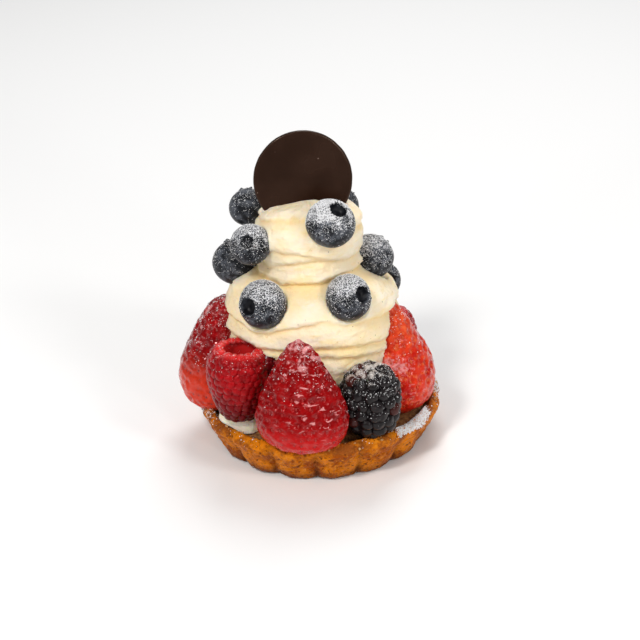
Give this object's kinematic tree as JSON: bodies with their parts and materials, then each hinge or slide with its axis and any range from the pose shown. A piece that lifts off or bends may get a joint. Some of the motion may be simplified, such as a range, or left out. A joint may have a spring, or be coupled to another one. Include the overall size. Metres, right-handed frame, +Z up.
{
  "type": "berry tart",
  "caption": "Individual berry tart: a fluted shortcrust shell with baked almond cream, a tall piped cone of pastry cream, halved strawberries, other berries and a chocolate disc.",
  "frame": {"origin": "centre of the crust's flat underside", "axes": "+Z up, from the crust's underside to the chocolate disc; -Y towards the front, the side with the whole front strawberry; +X to the right as seen from the front"},
  "size_m": [0.0857, 0.0834, 0.1038],
  "materials": {
    "pastry": "baked shortcrust, dry and slightly rough",
    "almond_cream": "baked crumb, rough",
    "pastry_cream": "soft satin cream",
    "chocolate": "satin dark chocolate",
    "strawberry": "glossy, glazed",
    "raspberry": "soft, slightly velvety",
    "bramble": "glossy, wet",
    "blueberry": "waxy bloom"
  },
  "bodies": {
    "root": {"crust": "pastry", "filling": "almond_cream", "cream": "pastry_cream", "chocolate_disc": "chocolate", "strawberry_front": "strawberry", "strawberry_left": "strawberry", "strawberry_right": "strawberry", "strawberry_back": "strawberry", "raspberry_front": "raspberry", "raspberry_tucked": "raspberry", "raspberry_back": "raspberry", "dark_bramble_front": "bramble", "dark_bramble_back": "bramble", "blueberry_01": "blueberry", "blueberry_02": "blueberry", "blueberry_03": "blueberry", "blueberry_04": "blueberry", "blueberry_05": "blueberry", "blueberry_06": "blueberry", "blueberry_07": "blueberry", "blueberry_08": "blueberry", "blueberry_09": "blueberry", "blueberry_10": "blueberry", "blueberry_11": "blueberry", "blueberry_12": "blueberry"}
  },
  "joints": []
}
